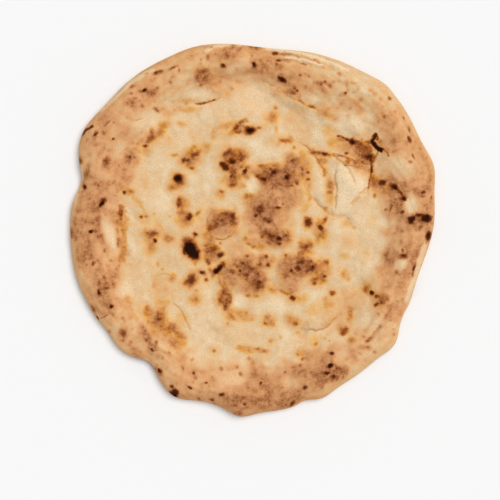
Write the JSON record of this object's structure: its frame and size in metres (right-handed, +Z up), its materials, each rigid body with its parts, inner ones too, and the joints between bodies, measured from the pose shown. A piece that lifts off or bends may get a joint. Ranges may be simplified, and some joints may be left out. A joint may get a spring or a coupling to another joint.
{
  "type": "pizza base",
  "caption": "Round baked pizza base with a thin blistered floor for topping and a puffed, uneven, scorched rim, lying flat on its underside.",
  "frame": {"origin": "middle of the base's box on the flat underside", "axes": "+Z up out of the topping side, +X to the right and +Y to the top of the picture's view from above"},
  "size_m": [0.293, 0.2996, 0.0192],
  "materials": {
    "baked_dough": "matte baked crust, pale and floury in the middle, tan to brown on the rim with dark scorched spots"
  },
  "bodies": {
    "root": {"pizza_base": "baked_dough"}
  },
  "joints": []
}
